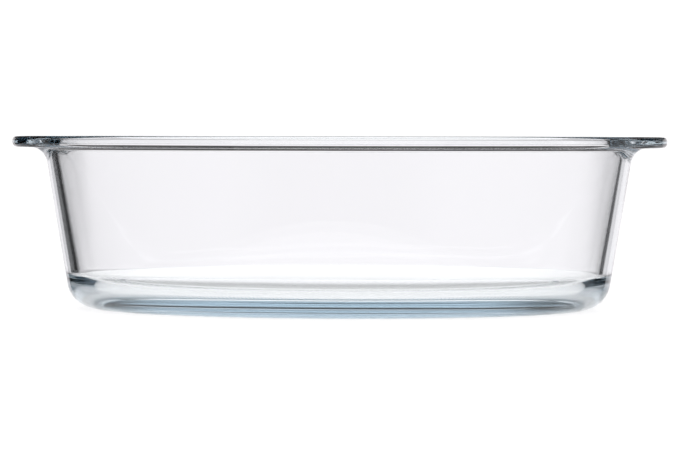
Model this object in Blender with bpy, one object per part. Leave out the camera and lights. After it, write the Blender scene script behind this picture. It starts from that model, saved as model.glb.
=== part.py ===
"""Oval pressed-glass baking dish with a flat rim and two moulded handles.

The dish is one pressing, so it is one solid. It is a loft of closed rings round the Z axis: the underside
with its resting ring, the rounded heel, the tapered outer wall, the rim with its two handles, the inner wall,
the inner heel and the floor. Each ring is the parallel curve of one reference ellipse, which keeps every wall
even round the oval. Metres, +Z up, long axis along X, origin at the middle of the resting plane.
"""

import math

import bmesh
import bpy

MM = 0.001

# Driving sizes of the whole dish.
RIM_LENGTH = 240.0 * MM  # outer edge of the rim, handles left out
RIM_WIDTH = 180.0 * MM
HEIGHT = 68.5 * MM

# Wall and floor.
DRAFT = math.radians(9.4)  # lean of the wall, which lets the pressing leave its mould
WALL_TOP = 4.6 * MM  # across the wall, just under the rim
WALL_FOOT = 5.4 * MM  # across the wall, extended down to the resting plane
FLOOR_THICKNESS = 7.0 * MM  # over the recess in the underside
HEEL_RADIUS = 12.0 * MM  # outside, from the wall to the resting ring
INNER_HEEL_RADIUS = 9.0 * MM

# Underside.
RESTING_RING_WIDTH = 8.0 * MM
RECESS_DEPTH = 1.0 * MM
RECESS_SLOPE_WIDTH = 3.0 * MM

# Rim and handles.
RIM_OVERHANG = 2.5 * MM  # of the rim beyond the outer wall
RIM_THICKNESS = 4.5 * MM
RIM_UPPER_RADIUS = 1.7 * MM
RIM_LOWER_RADIUS = 1.9 * MM
RIM_INNER_RADIUS = 1.5 * MM  # rounded inner corner of the rim
UNDER_RIM_RADIUS = 1.5 * MM  # hollow fillet from the wall to the rim's underside, along the sides
UNDER_HANDLE_RADIUS = 7.0 * MM  # the same fillet, where it carries a handle
UNDER_HANDLE_WIDTH = 20.0 * MM  # over this width that fillet has its full radius
UNDER_HANDLE_SHOULDER = 19.0 * MM  # width, on each side, over which it shrinks to the one along the sides
HANDLE_REACH = 10.0 * MM  # of each handle beyond the rim's edge
HANDLE_FLAT_WIDTH = 44.0 * MM  # the handle's full reach holds over this width
HANDLE_SHOULDER = 24.0 * MM  # width, on each side, over which the handle fades into the rim
HANDLE_CROWN = 5.0 * MM  # how much further the handle reaches at its middle than at its shoulders

# Fineness of the loft.
RING_POINTS = 96  # a multiple of 4, which keeps both mirror planes exact
ARC_STEPS = 6
WALL_STEPS = 3

GLASS_COLOUR = (0.86, 0.93, 0.95, 1.0)

SLOPE = math.tan(DRAFT)
WALL_HALF_LENGTH = RIM_LENGTH / 2 - RIM_OVERHANG - HEIGHT * SLOPE  # outer wall, extended down to Z = 0
WALL_HALF_WIDTH = RIM_WIDTH / 2 - RIM_OVERHANG - HEIGHT * SLOPE


def arc(centre_out, centre_z, radius, start, end, steps=ARC_STEPS):
    """Stations along a round stretch of the profile. Its angles are measured from straight out."""
    stations = []
    for step in range(steps + 1):
        angle = start + (end - start) * step / steps
        stations.append((centre_out + radius * math.cos(angle), centre_z + radius * math.sin(angle)))
    return stations


def outer_wall(z):
    """How far out of the reference ellipse the outer wall stands at height z."""
    return z * SLOPE


def inner_wall(z):
    """The same for the inner wall, which leans a little less, because the wall thins towards the rim."""
    thickness = WALL_FOOT + (WALL_TOP - WALL_FOOT) * z / HEIGHT
    return z * SLOPE - thickness / math.cos(DRAFT)


def underside_profile():
    """Resting ring and the slope up to the recess, from the inside out."""
    ring_out = HEEL_RADIUS * SLOPE - HEEL_RADIUS / math.cos(DRAFT)
    ring_in = ring_out - RESTING_RING_WIDTH
    return [(ring_in - RECESS_SLOPE_WIDTH, RECESS_DEPTH), (ring_in, 0.0)]


def outside_profile():
    """Heel and outer wall, up to the start of the fillet under the rim."""
    centre_out = HEEL_RADIUS * SLOPE - HEEL_RADIUS / math.cos(DRAFT)
    stations = arc(centre_out, HEEL_RADIUS, HEEL_RADIUS, -math.pi / 2, -DRAFT)
    low = stations[-1][1]
    high = under_rim_arc(UNDER_HANDLE_RADIUS)[0][1]
    for step in range(1, WALL_STEPS):
        z = low + (high - low) * step / WALL_STEPS
        stations.append((outer_wall(z), z))
    return stations


def under_rim_arc(radius):
    """Hollow fillet that carries the wall into the rim's underside."""
    centre_z = HEIGHT - RIM_THICKNESS - radius
    centre_out = outer_wall(centre_z) + radius / math.cos(DRAFT)
    return arc(centre_out, centre_z, radius, math.pi - DRAFT, math.pi / 2)


def rim_edge_profile():
    """Outer edge of the rim, from its underside to its top."""
    edge = outer_wall(HEIGHT) + RIM_OVERHANG
    lower_z = HEIGHT - RIM_THICKNESS + RIM_LOWER_RADIUS
    lower = arc(edge - RIM_LOWER_RADIUS, lower_z, RIM_LOWER_RADIUS, -math.pi / 2, 0.0)
    upper_z = HEIGHT - RIM_UPPER_RADIUS
    upper = arc(edge - RIM_UPPER_RADIUS, upper_z, RIM_UPPER_RADIUS, 0.0, math.pi / 2)
    return lower + upper


def inside_profile():
    """Rim's inner corner, inner wall and inner heel, down to the floor."""
    floor = RECESS_DEPTH + FLOOR_THICKNESS
    lean = math.atan((inner_wall(HEIGHT) - inner_wall(0.0)) / HEIGHT)
    corner_z = HEIGHT - RIM_INNER_RADIUS
    corner_out = inner_wall(corner_z) + RIM_INNER_RADIUS / math.cos(lean)
    stations = arc(corner_out, corner_z, RIM_INNER_RADIUS, math.pi / 2, math.pi - lean)
    heel_z = floor + INNER_HEEL_RADIUS
    heel_out = inner_wall(heel_z) - INNER_HEEL_RADIUS / math.cos(lean)
    heel = arc(heel_out, heel_z, INNER_HEEL_RADIUS, -lean, -math.pi / 2)
    high = stations[-1][1]
    low = heel[0][1]
    for step in range(1, WALL_STEPS):
        z = high + (low - high) * step / WALL_STEPS
        stations.append((inner_wall(z), z))
    return stations + heel


def reference_point(angle, out):
    """A point out of the reference ellipse by the given distance, along the ellipse's own normal."""
    x = WALL_HALF_LENGTH * math.cos(angle)
    y = WALL_HALF_WIDTH * math.sin(angle)
    normal_x = WALL_HALF_WIDTH * math.cos(angle)
    normal_y = WALL_HALF_LENGTH * math.sin(angle)
    length = math.hypot(normal_x, normal_y)
    return x + out * normal_x / length, y + out * normal_y / length


def handle_share(angle):
    """How much of a handle there is at this angle: 1 across the handle, 0 on the long sides."""
    y = reference_point(angle, outer_wall(HEIGHT) + RIM_OVERHANG)[1]
    fade = min(max((abs(y) - HANDLE_FLAT_WIDTH / 2) / HANDLE_SHOULDER, 0.0), 1.0)
    return 1 - fade * fade * (3 - 2 * fade)


def handle_reach(angle):
    """How far the handle carries the rim's edge along X at this angle."""
    x, y = reference_point(angle, outer_wall(HEIGHT) + RIM_OVERHANG)
    tip = RIM_LENGTH / 2 + HANDLE_REACH - HANDLE_CROWN * (2 * y / HANDLE_FLAT_WIDTH) ** 2
    return math.copysign(max(tip - abs(x), 0.0) * handle_share(angle), math.cos(angle))


def fillet_share(angle):
    """How far the fillet under the rim has grown to the one that carries a handle, at this angle."""
    y = reference_point(angle, outer_wall(HEIGHT) + RIM_OVERHANG)[1]
    fade = min(max((abs(y) - UNDER_HANDLE_WIDTH / 2) / UNDER_HANDLE_SHOULDER, 0.0), 1.0)
    return 1 - fade * fade * (3 - 2 * fade)


def ring_angles():
    return [2 * math.pi * index / RING_POINTS for index in range(RING_POINTS)]


def level_ring(out, z):
    """One closed ring of the loft, parallel to the reference ellipse."""
    return [(*reference_point(angle, out), z) for angle in ring_angles()]


def rim_edge_ring(out, z):
    """A ring of the rim's edge, carried out along X by the handles."""
    points = []
    for angle in ring_angles():
        x, y = reference_point(angle, out)
        points.append((x + handle_reach(angle), y, z))
    return points


def under_rim_ring(step):
    """A ring of the fillet under the rim, which grows from the sides to the handles."""
    points = []
    for angle in ring_angles():
        radius = UNDER_RIM_RADIUS + (UNDER_HANDLE_RADIUS - UNDER_RIM_RADIUS) * fillet_share(angle)
        out, z = under_rim_arc(radius)[step]
        points.append((*reference_point(angle, out), z))
    return points


def dish_rings():
    """Every ring of the dish, from the underside, round the outside and back down to the floor."""
    rings = [level_ring(out, z) for out, z in underside_profile() + outside_profile()]
    rings += [under_rim_ring(step) for step in range(ARC_STEPS + 1)]
    rings += [rim_edge_ring(out, z) for out, z in rim_edge_profile()]
    rings += [level_ring(out, z) for out, z in inside_profile()]
    return rings


def loft(name, rings):
    """A closed solid through the rings, with a flat cap on the first and the last."""
    mesh = bpy.data.meshes.new(name)
    work = bmesh.new()
    loops = [[work.verts.new(point) for point in ring] for ring in rings]
    for lower, upper in zip(loops, loops[1:]):
        for index in range(len(lower)):
            following = (index + 1) % len(lower)
            work.faces.new((lower[index], lower[following], upper[following], upper[index]))
    work.faces.new(reversed(loops[0]))
    work.faces.new(loops[-1])
    bmesh.ops.recalc_face_normals(work, faces=work.faces)
    work.to_mesh(mesh)
    work.free()
    mesh.shade_smooth()
    mesh.set_sharp_from_angle(angle=math.radians(35))
    return bpy.data.objects.new(name, mesh)


def glass_material():
    """Clear pressed glass with a faint blue-grey cast."""
    material = bpy.data.materials.new("clear_glass")
    material.use_nodes = True
    shader = material.node_tree.nodes["Principled BSDF"]
    shader.inputs["Base Color"].default_value = GLASS_COLOUR
    shader.inputs["Roughness"].default_value = 0.02
    shader.inputs["Metallic"].default_value = 0.0
    shader.inputs["IOR"].default_value = 1.47
    shader.inputs["Transmission Weight"].default_value = 1.0
    return material


def make_dish():
    dish = loft("glass_dish", dish_rings())
    dish.data.materials.append(glass_material())
    return dish


def main():
    for old in list(bpy.data.objects):
        bpy.data.objects.remove(old)
    collection = bpy.data.collections.new("oval_glass_baking_dish")
    bpy.context.scene.collection.children.link(collection)
    collection.objects.link(make_dish())


main()
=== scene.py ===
"""Looks of the oval glass baking dish.

The dish is one pressing of clear glass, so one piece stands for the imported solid. Its surface is lofted here
as fine as glass needs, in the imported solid's box, and it has what the plain solid leaves out: the ribs
pressed into the resting ring, the soft edges of the recess, and the slight ripple of pressed glass. Metres,
+Z up, long axis along X, origin in the middle of the resting plane.
"""

import math

import bmesh
import bpy
from mathutils import Euler, Matrix, Vector, noise


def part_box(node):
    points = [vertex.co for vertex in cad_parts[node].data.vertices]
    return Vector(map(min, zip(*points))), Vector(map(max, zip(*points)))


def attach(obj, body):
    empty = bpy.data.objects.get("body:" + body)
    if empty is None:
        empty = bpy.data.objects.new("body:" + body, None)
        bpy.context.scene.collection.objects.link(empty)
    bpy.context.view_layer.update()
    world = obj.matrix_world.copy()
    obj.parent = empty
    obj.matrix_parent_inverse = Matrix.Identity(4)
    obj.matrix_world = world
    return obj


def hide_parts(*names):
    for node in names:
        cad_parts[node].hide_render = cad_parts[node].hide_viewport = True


MM = 0.001

# Sizes of the pressing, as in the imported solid.
RIM_LENGTH = 240.0 * MM  # outer edge of the rim, handles left out
DRAFT = math.radians(9.4)  # lean of the outer wall
WALL_TOP = 4.6 * MM  # across the wall, just under the rim
WALL_FOOT = 5.4 * MM  # across the wall, extended down to the resting plane
FLOOR_THICKNESS = 7.0 * MM  # over the recess in the underside
HEEL_RADIUS = 12.0 * MM  # outside, from the wall to the resting ring
INNER_HEEL_RADIUS = 9.0 * MM
RESTING_RING_WIDTH = 8.0 * MM
RECESS_DEPTH = 1.0 * MM
RECESS_SLOPE_WIDTH = 3.0 * MM
RIM_OVERHANG = 2.5 * MM  # of the rim beyond the outer wall
RIM_THICKNESS = 4.5 * MM
RIM_UPPER_RADIUS = 1.7 * MM
RIM_LOWER_RADIUS = 1.9 * MM
RIM_INNER_RADIUS = 1.5 * MM  # rounded inner corner of the rim
UNDER_RIM_RADIUS = 1.5 * MM  # hollow fillet from the wall to the rim's underside, along the sides
UNDER_HANDLE_RADIUS = 7.0 * MM  # the same fillet, where it carries a handle
UNDER_HANDLE_WIDTH = 20.0 * MM  # over this width that fillet has its full radius
UNDER_HANDLE_SHOULDER = 19.0 * MM  # width, on each side, over which it shrinks to the one along the sides
HANDLE_FLAT_WIDTH = 44.0 * MM  # the handle's full reach holds over this width
HANDLE_SHOULDER = 24.0 * MM  # width, on each side, over which the handle fades into the rim
HANDLE_CROWN = 5.0 * MM  # how much further the handle reaches at its middle than at its shoulders
SLOPE = math.tan(DRAFT)

# Detail that only the looks have.
RIBS = 320  # short ridges across the resting ring
RIB_DEPTH = 0.22 * MM
RIB_EDGE = 1.5 * MM  # width, at each edge of the ring, over which the ribs run out
RIPPLE_DEPTH = 0.05 * MM  # of the hollows in the pressed surface
RIPPLE_SPAN = 22.0 * MM  # from one hollow to the next
HANDLE_RIPPLE_DEPTH = 0.1 * MM  # of the extra hollows in the handles
HANDLE_RIPPLE_SPAN = 9.0 * MM
HANDLE_RIPPLE_FADE = 6.0 * MM  # length, outwards from the wall, over which those hollows set in
HANDLE_RIPPLE_LOW = 0.8  # share of the height at which they start
HANDLE_RIPPLE_RISE = 3.0 * MM  # height over which they set in

# Fineness of the loft.
RING_POINTS = 640
FINE_FACTOR = 3  # the ribbed rings have this many times the points
EVEN_SAMPLES = 7200  # steps round the dish in which the distance along a ring is added up
ARC_STEPS = 12
WALL_STEPS = 8
FLAT_STEPS = 2  # across the rim's underside and its top
GUARD = 0.3 * MM  # how near a ring stands to the edge of a straight stretch, to keep the shading flat there
MOST_GUARD = 0.25  # of a short straight stretch

# Glass.
GLASS_IOR = 1.47
GLASS_COLOUR = (0.0, 0.33, 0.5, 1.0)  # what it spares as it absorbs: no red, some green and more blue
GLASS_DENSITY = 5.0  # absorption of red, per metre
WORN_ROUGHNESS = 0.18  # of the ribs, where the dish stands on them
WORN_HEIGHT = (0.1 * MM, 0.4 * MM)  # where the wear starts to fade, and where it ends

# Camera.
CAMERA_DISTANCE = 1.207
CAMERA_HEIGHT = 69.8 * MM
CAMERA_SIDE = 0.7 * MM
CAMERA_LENS = 161.0  # millimetres
CAMERA_SENSOR = 36.0  # millimetres wide
CAMERA_NEAR = 0.01
CAMERA_FAR = 50.0
CAMERA_TURN = math.radians(4.4)  # round to the dish's right
CAMERA_PITCH = math.radians(-1.77)
CAMERA_ROLL = math.radians(-0.115)

# Light table.
TABLE_HALF_LENGTH = 124.0 * MM
TABLE_HALF_WIDTH = 170.0 * MM
TABLE_GAP = 0.1 * MM  # under the resting ring
TABLE_EDGES = 128
TABLE_GREY = 0.5
TABLE_ROUGHNESS = 0.9
TABLE_GLOW = 0.74

# Studio, as radiance, where 1 is paper white. Each pair of angles, in degrees, gives where a fade starts and
# ends. Off axis is counted from straight behind the dish or in front of it, and elevation from the horizon.
PAPER_WHITE = 1.1  # what the camera sees behind the dish
TINT = (1.0, 0.975, 1.0)  # faint cast of the white
BACKDROP = 1.06  # behind the dish and in front of it, at its middle
BACKDROP_LOW = 0.88  # at its sides
BACKDROP_FALL = (3.0, 30.0)  # off axis, from the one to the other
BACKDROP_SIDE = (29.0, 33.0)  # off axis, where it ends
BACKDROP_TOP = (5.0, 12.0)  # elevation
SIDE_STRIP = (76.0, 84.0)  # off axis, a narrow white strip beyond each end of the dish
DARK = 0.03  # between the backdrops and the strips
FLOOR = 0.6  # further out than the table, in line with the backdrops
FLOOR_AT_SIDES = 0.9
FLOOR_SIDE = (15.0, 40.0)  # off axis, from the one to the other
FLOOR_BELOW = (-45.0, -30.0)  # elevation, paper white from here down
FLOOR_EDGE = (-14.0, -10.0)  # elevation, where the floor meets what stands around
CEILING = 0.035
SOFTBOX = 1.5
SOFTBOX_EDGE = (32.0, 54.0)  # elevation

MOST_BOUNCES = 48
MOST_REFLECTIONS = 24


def arc(centre_out, centre_z, radius, start, end, steps=ARC_STEPS):
    """Stations along a round stretch of the profile. Its angles are measured from straight out."""
    stations = []
    for step in range(steps + 1):
        angle = start + (end - start) * step / steps
        stations.append((centre_out + radius * math.cos(angle), centre_z + radius * math.sin(angle)))
    return stations


def smooth(share):
    """Eases a share between 0 and 1."""
    share = min(max(share, 0.0), 1.0)
    return share * share * (3 - 2 * share)


class Dish:
    """The dish's shape: the rings of its loft, from the underside round the outside and down to the floor."""

    def __init__(self, low, high):
        self.length = high.x - low.x
        self.width = high.y - low.y
        self.height = high.z - low.z
        inset = RIM_OVERHANG + self.height * SLOPE
        self.half_length = RIM_LENGTH / 2 - inset
        self.half_width = self.width / 2 - inset
        self.rim_out = self.outer_wall(self.height) + RIM_OVERHANG
        self.ring_outer = HEEL_RADIUS * SLOPE - HEEL_RADIUS / math.cos(DRAFT)
        self.ring_inner = self.ring_outer - RESTING_RING_WIDTH
        self.angles = self.even_angles(RING_POINTS)
        self.fine_angles = self.even_angles(RING_POINTS * FINE_FACTOR)

    def outer_wall(self, z):
        """How far out of the reference ellipse the outer wall stands at height z."""
        return z * SLOPE

    def inner_wall(self, z):
        """The same for the inner wall, which leans a little less, because the wall thins towards the rim."""
        thickness = WALL_FOOT + (WALL_TOP - WALL_FOOT) * z / self.height
        return z * SLOPE - thickness / math.cos(DRAFT)

    def reference_point(self, angle, out):
        """A point out of the reference ellipse by the given distance, along the ellipse's own normal."""
        cosine, sine = math.cos(angle), math.sin(angle)
        normal_x, normal_y = self.half_width * cosine, self.half_length * sine
        scale = out / math.hypot(normal_x, normal_y)
        return self.half_length * cosine + scale * normal_x, self.half_width * sine + scale * normal_y

    def even_angles(self, count):
        """Angles at even distances along the resting ring, so that its ribs are all one width."""
        middle = (self.ring_outer + self.ring_inner) / 2
        travelled = [0.0]
        previous = self.reference_point(0.0, middle)
        for index in range(1, EVEN_SAMPLES + 1):
            point = self.reference_point(2 * math.pi * index / EVEN_SAMPLES, middle)
            travelled.append(travelled[-1] + math.dist(previous, point))
            previous = point
        angles = []
        sample = 0
        for index in range(count):
            target = travelled[-1] * index / count
            while travelled[sample + 1] < target:
                sample += 1
            share = (target - travelled[sample]) / (travelled[sample + 1] - travelled[sample])
            angles.append(2 * math.pi * (sample + share) / EVEN_SAMPLES)
        return angles

    def handle_share(self, angle):
        """How much of a handle there is at this angle: 1 across the handle, 0 on the long sides."""
        y = self.reference_point(angle, self.rim_out)[1]
        return 1 - smooth((abs(y) - HANDLE_FLAT_WIDTH / 2) / HANDLE_SHOULDER)

    def handle_reach(self, angle):
        """How far the handle carries the rim's edge along X at this angle."""
        x, y = self.reference_point(angle, self.rim_out)
        tip = self.length / 2 - HANDLE_CROWN * (2 * y / HANDLE_FLAT_WIDTH) ** 2
        return math.copysign(max(tip - abs(x), 0.0) * self.handle_share(angle), math.cos(angle))

    def fillet_share(self, angle):
        """How far the fillet under the rim has grown to the one that carries a handle."""
        y = self.reference_point(angle, self.rim_out)[1]
        return 1 - smooth((abs(y) - UNDER_HANDLE_WIDTH / 2) / UNDER_HANDLE_SHOULDER)

    def level_ring(self, out, z):
        return [Vector((*self.reference_point(angle, out), z)) for angle in self.angles]

    def ribbed_ring(self, out):
        """A fine ring of the resting ring, with the ribs' hollows between its ridges."""
        edge = min(out - self.ring_inner, self.ring_outer - out)
        depth = RIB_DEPTH * smooth(edge / RIB_EDGE)
        points = []
        for index, angle in enumerate(self.fine_angles):
            wave = 0.5 - 0.5 * math.cos(2 * math.pi * RIBS * index / len(self.fine_angles))
            points.append(Vector((*self.reference_point(angle, out), depth * wave)))
        return points

    def rim_edge_ring(self, out, z):
        """A ring of the rim's edge, carried out along X by the handles."""
        points = []
        for angle in self.angles:
            x, y = self.reference_point(angle, out)
            points.append(Vector((x + self.handle_reach(angle), y, z)))
        return points

    def under_rim_ring(self, step):
        """A ring of the fillet under the rim, which grows from the sides to the handles."""
        points = []
        for angle in self.angles:
            radius = UNDER_RIM_RADIUS + (UNDER_HANDLE_RADIUS - UNDER_RIM_RADIUS) * self.fillet_share(angle)
            centre_z = self.height - RIM_THICKNESS - radius
            centre_out = self.outer_wall(centre_z) + radius / math.cos(DRAFT)
            out, z = arc(centre_out, centre_z, radius, math.pi - DRAFT, math.pi / 2)[step]
            points.append(Vector((*self.reference_point(angle, out), z)))
        return points

    def recess_rings(self):
        """Soft step from the recess in the underside down to the resting ring."""
        rings = []
        start = self.ring_inner - RECESS_SLOPE_WIDTH
        rings.append(self.level_ring(start - GUARD, RECESS_DEPTH))
        for step in range(ARC_STEPS + 1):
            share = step / ARC_STEPS
            out = start + share * RECESS_SLOPE_WIDTH
            rings.append(self.level_ring(out, RECESS_DEPTH * (1 - smooth(share))))
        return rings

    def ribbed_rings(self):
        rings = []
        for step in range(1, ARC_STEPS):
            rings.append(self.ribbed_ring(self.ring_inner + RESTING_RING_WIDTH * step / ARC_STEPS))
        return rings

    def outside_rings(self):
        """Heel, outer wall and the fillet under the rim."""
        heel = arc(self.ring_outer, HEEL_RADIUS, HEEL_RADIUS, -math.pi / 2, -DRAFT)
        rings = [self.level_ring(out, z) for out, z in heel]
        fillet = [self.under_rim_ring(step) for step in range(ARC_STEPS + 1)]
        return rings + between(rings[-1], fillet[0], WALL_STEPS) + fillet

    def rim_rings(self):
        """The rim's edge and its rounded inner corner."""
        lower_z = self.height - RIM_THICKNESS + RIM_LOWER_RADIUS
        lower = arc(self.rim_out - RIM_LOWER_RADIUS, lower_z, RIM_LOWER_RADIUS, -math.pi / 2, 0.0)
        upper_z = self.height - RIM_UPPER_RADIUS
        upper = arc(self.rim_out - RIM_UPPER_RADIUS, upper_z, RIM_UPPER_RADIUS, 0.0, math.pi / 2)
        rings = [self.rim_edge_ring(out, z) for out, z in lower + upper]
        lean = self.inner_lean()
        corner_z = self.height - RIM_INNER_RADIUS
        corner_out = self.inner_wall(corner_z) + RIM_INNER_RADIUS / math.cos(lean)
        corner = arc(corner_out, corner_z, RIM_INNER_RADIUS, math.pi / 2, math.pi - lean)
        inner = [self.level_ring(out, z) for out, z in corner]
        return rings + between(rings[-1], inner[0], FLAT_STEPS) + inner

    def inner_lean(self):
        return math.atan((self.inner_wall(self.height) - self.inner_wall(0.0)) / self.height)

    def inside_rings(self):
        """Inner heel and floor."""
        floor = RECESS_DEPTH + FLOOR_THICKNESS
        lean = self.inner_lean()
        heel_z = floor + INNER_HEEL_RADIUS
        heel_out = self.inner_wall(heel_z) - INNER_HEEL_RADIUS / math.cos(lean)
        heel = arc(heel_out, heel_z, INNER_HEEL_RADIUS, -lean, -math.pi / 2)
        rings = [self.level_ring(out, z) for out, z in heel]
        rings.append(self.level_ring(heel_out - GUARD, floor))
        return rings

    def rings(self):
        outside = self.outside_rings()
        rim = self.rim_rings()
        inside = self.inside_rings()
        rings = self.recess_rings() + self.ribbed_rings() + outside
        rings += between(outside[-1], rim[0], FLAT_STEPS) + rim
        return rings + between(rim[-1], inside[0], WALL_STEPS) + inside


def between(first, second, steps):
    """Rings on the straight stretch between two rings, with one close to each end."""
    rings = []
    for step in range(steps + 1):
        points = []
        for start, end in zip(first, second):
            guard = min(MOST_GUARD, GUARD / max((end - start).length, GUARD))
            points.append(start.lerp(end, guard + (1 - 2 * guard) * step / steps))
        rings.append(points)
    return rings


def join_rings(work, first, second):
    """Faces between two rings, one of which may have a whole number of times the other's points."""
    if len(first) > len(second):
        coarse, fine, flip = second, first, True
    else:
        coarse, fine, flip = first, second, False
    factor = len(fine) // len(coarse)
    for index in range(len(coarse)):
        following = (index + 1) % len(coarse)
        steps = [fine[(index * factor + step) % len(fine)] for step in range(factor, -1, -1)]
        corners = [coarse[index], coarse[following], *steps]
        work.faces.new(corners[::-1] if flip else corners)


def loft(name, rings):
    """A closed surface through the rings, with a flat cap on the first and the last."""
    mesh = bpy.data.meshes.new(name)
    work = bmesh.new()
    loops = [[work.verts.new(point) for point in ring] for ring in rings]
    for first, second in zip(loops, loops[1:]):
        join_rings(work, first, second)
    work.faces.new(reversed(loops[0]))
    work.faces.new(loops[-1])
    bmesh.ops.recalc_face_normals(work, faces=work.faces)
    work.to_mesh(mesh)
    work.free()
    mesh.shade_smooth()
    piece = bpy.data.objects.new(name, mesh)
    bpy.context.scene.collection.objects.link(piece)
    return piece


def ripple(piece, dish):
    """Sinks shallow hollows into the surface: broad ones all over, and closer, deeper ones on the handles."""
    handle_start = RIM_LENGTH / 2 - RIM_OVERHANG
    normals = [normal.vector.copy() for normal in piece.data.vertex_normals]
    for vertex, normal in zip(piece.data.vertices, normals):
        place = vertex.co.copy()
        hollow = RIPPLE_DEPTH * (0.5 + 0.5 * noise.noise(place / RIPPLE_SPAN))
        beyond = smooth((abs(place.x) - handle_start) / HANDLE_RIPPLE_FADE)
        above = smooth((place.z - HANDLE_RIPPLE_LOW * dish.height) / HANDLE_RIPPLE_RISE)
        deeper = HANDLE_RIPPLE_DEPTH * (0.5 + 0.5 * noise.noise(place / HANDLE_RIPPLE_SPAN))
        hollow += beyond * above * deeper
        if place.z > GUARD:
            vertex.co = place - normal * hollow


def value_node(tree, operation, *values):
    """A maths node; each value is a number or another node's output."""
    node = tree.nodes.new("ShaderNodeMath")
    node.operation = operation
    for socket, value in zip(node.inputs, values):
        if isinstance(value, (int, float)):
            socket.default_value = value
        else:
            tree.links.new(value, socket)
    return node.outputs[0]


def fade_node(tree, value, edge, first, second):
    """Goes smoothly from first to second as value crosses the edge, given as where it starts and ends."""
    node = tree.nodes.new("ShaderNodeMapRange")
    node.interpolation_type = "SMOOTHSTEP"
    tree.links.new(value, node.inputs["Value"])
    settings = zip(("From Min", "From Max", "To Min", "To Max"), (*edge, first, second))
    for name, setting in settings:
        node.inputs[name].default_value = setting
    return node.outputs["Result"]


def mix_node(tree, share, first, second):
    """Goes from first to second as share goes from 0 to 1."""
    node = tree.nodes.new("ShaderNodeMix")
    for name, value in zip(("Factor", "A", "B"), (share, first, second)):
        tree.links.new(value, node.inputs[name])
    return node.outputs["Result"]


def glass_material():
    """Clear glass, polished by fire all over but for the ribs that it stands on, which are slightly worn."""
    material = bpy.data.materials.new("clear_pressed_glass")
    material.use_nodes = True
    tree = material.node_tree
    shader = tree.nodes["Principled BSDF"]
    shader.inputs["Base Color"].default_value = (1.0, 1.0, 1.0, 1.0)
    shader.inputs["IOR"].default_value = GLASS_IOR
    shader.inputs["Transmission Weight"].default_value = 1.0
    place = tree.nodes.new("ShaderNodeTexCoord")
    axes = tree.nodes.new("ShaderNodeSeparateXYZ")
    tree.links.new(place.outputs["Object"], axes.inputs[0])
    wear = fade_node(tree, axes.outputs["Z"], WORN_HEIGHT, WORN_ROUGHNESS, 0.0)
    tree.links.new(wear, shader.inputs["Roughness"])
    volume = tree.nodes.new("ShaderNodeVolumeAbsorption")
    volume.inputs["Color"].default_value = GLASS_COLOUR
    volume.inputs["Density"].default_value = GLASS_DENSITY
    tree.links.new(volume.outputs["Volume"], tree.nodes["Material Output"].inputs["Volume"])
    return material


def make_dish():
    low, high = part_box("glass_dish")
    shape = Dish(Vector(low), Vector(high))
    dish = loft("dish_glass", shape.rings())
    ripple(dish, shape)
    dish.data.materials.append(glass_material())
    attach(dish, "root")
    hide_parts("glass_dish")


def table_material():
    """Milk-white sheet of a light table: it scatters the light from above and glows faintly from below."""
    material = bpy.data.materials.new("light_table")
    material.use_nodes = True
    shader = material.node_tree.nodes["Principled BSDF"]
    shader.inputs["Base Color"].default_value = (TABLE_GREY, TABLE_GREY, TABLE_GREY, 1.0)
    shader.inputs["Roughness"].default_value = TABLE_ROUGHNESS
    shader.inputs["Specular IOR Level"].default_value = 0.0
    shader.inputs["Emission Color"].default_value = (1.0, 1.0, 1.0, 1.0)
    shader.inputs["Emission Strength"].default_value = TABLE_GLOW
    return material


def make_table():
    """Oval pale light table just under the resting ring."""
    mesh = bpy.data.meshes.new("light_table")
    work = bmesh.new()
    bmesh.ops.create_circle(work, cap_ends=True, segments=TABLE_EDGES, radius=1.0)
    work.to_mesh(mesh)
    work.free()
    mesh.materials.append(table_material())
    table = bpy.data.objects.new("light_table", mesh)
    table.location.z = -TABLE_GAP
    table.scale = (TABLE_HALF_LENGTH, TABLE_HALF_WIDTH, 1.0)
    bpy.context.scene.collection.objects.link(table)


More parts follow.
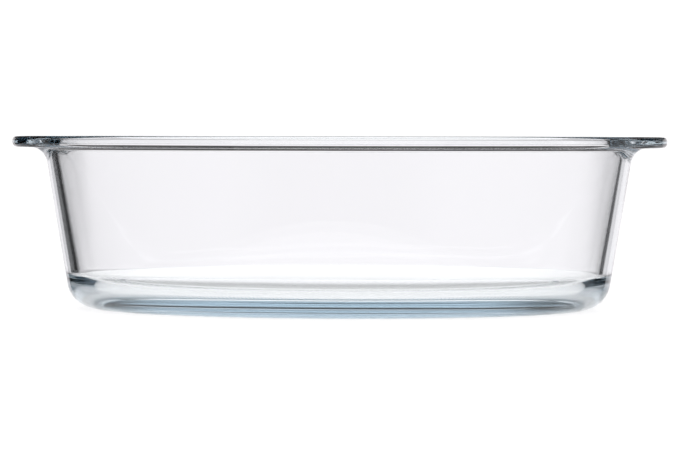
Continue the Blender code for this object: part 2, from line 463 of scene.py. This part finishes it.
def make_world():
    """The studio that the glass refracts and reflects, and the paper white that the camera sees behind it.

    White backdrops stand behind the dish and in front of it, with a narrow white strip beyond each of its
    ends and darkness in between. The floor is pale, the ceiling is dark, and a softbox hangs overhead.
    """
    world = bpy.data.worlds.new("studio")
    bpy.context.scene.world = world
    world.use_nodes = True
    tree = world.node_tree
    direction = tree.nodes.new("ShaderNodeTexCoord")
    axes = tree.nodes.new("ShaderNodeSeparateXYZ")
    tree.links.new(direction.outputs["Generated"], axes.inputs[0])
    bearing = value_node(tree, "ARCTAN2", axes.outputs["X"], axes.outputs["Y"])
    degrees = value_node(tree, "MULTIPLY", bearing, math.degrees(1.0))
    off_axis = value_node(tree, "ABSOLUTE", value_node(tree, "WRAP", degrees, 90.0, -90.0))
    height = value_node(tree, "ARCSINE", axes.outputs["Z"])
    elevation = value_node(tree, "MULTIPLY", height, math.degrees(1.0))
    fall = fade_node(tree, off_axis, BACKDROP_FALL, BACKDROP, BACKDROP_LOW)
    backdrop = value_node(tree, "MULTIPLY", fall, fade_node(tree, off_axis, BACKDROP_SIDE, 1.0, 0.0))
    strip = fade_node(tree, off_axis, SIDE_STRIP, DARK, BACKDROP)
    around = value_node(tree, "MAXIMUM", backdrop, strip)
    far_floor = fade_node(tree, off_axis, FLOOR_SIDE, FLOOR, FLOOR_AT_SIDES)
    near_floor = fade_node(tree, elevation, FLOOR_BELOW, PAPER_WHITE, 0.0)
    floor = value_node(tree, "MAXIMUM", far_floor, near_floor)
    overhead = fade_node(tree, elevation, SOFTBOX_EDGE, CEILING, SOFTBOX)
    level = mix_node(tree, fade_node(tree, elevation, FLOOR_EDGE, 0.0, 1.0), floor, around)
    studio = mix_node(tree, fade_node(tree, elevation, BACKDROP_TOP, 0.0, 1.0), level, overhead)
    lit = tree.nodes["Background"]
    lit.inputs["Color"].default_value = (*TINT, 1.0)
    tree.links.new(studio, lit.inputs["Strength"])
    paper = tree.nodes.new("ShaderNodeBackground")
    paper.inputs["Strength"].default_value = PAPER_WHITE
    paper.inputs["Color"].default_value = (1.0, 1.0, 1.0, 1.0)
    seen = tree.nodes.new("ShaderNodeLightPath")
    choice = tree.nodes.new("ShaderNodeMixShader")
    tree.links.new(seen.outputs["Is Camera Ray"], choice.inputs["Fac"])
    tree.links.new(lit.outputs["Background"], choice.inputs[1])
    tree.links.new(paper.outputs["Background"], choice.inputs[2])
    tree.links.new(choice.outputs["Shader"], tree.nodes["World Output"].inputs["Surface"])


def make_camera():
    data = bpy.data.cameras.new("camera")
    data.lens = CAMERA_LENS
    data.sensor_width = CAMERA_SENSOR
    data.clip_start = CAMERA_NEAR
    data.clip_end = CAMERA_FAR
    camera = bpy.data.objects.new("camera", data)
    turn = Matrix.Rotation(CAMERA_TURN, 4, "Z")
    place = Matrix.Translation((CAMERA_SIDE, -CAMERA_DISTANCE, CAMERA_HEIGHT))
    tilt = Euler((math.pi / 2 + CAMERA_PITCH, CAMERA_ROLL, 0.0)).to_matrix().to_4x4()
    camera.matrix_world = turn @ place @ tilt
    bpy.context.scene.collection.objects.link(camera)
    bpy.context.scene.camera = camera


def let_light_through():
    """Glass seen through glass needs many bounces, and paper white needs the plain view transform."""
    scene = bpy.context.scene
    scene.cycles.max_bounces = MOST_BOUNCES
    scene.cycles.transmission_bounces = MOST_BOUNCES
    scene.cycles.glossy_bounces = MOST_REFLECTIONS
    scene.view_settings.view_transform = "Standard"


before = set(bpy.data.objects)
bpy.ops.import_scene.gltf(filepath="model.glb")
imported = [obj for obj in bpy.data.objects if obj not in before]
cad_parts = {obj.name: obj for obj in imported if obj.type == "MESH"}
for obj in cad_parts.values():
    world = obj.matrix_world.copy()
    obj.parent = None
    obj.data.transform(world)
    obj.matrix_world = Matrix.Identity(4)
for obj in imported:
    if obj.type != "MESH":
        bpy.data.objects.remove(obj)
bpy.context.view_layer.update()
make_camera()
make_world()
let_light_through()
make_table()
make_dish()
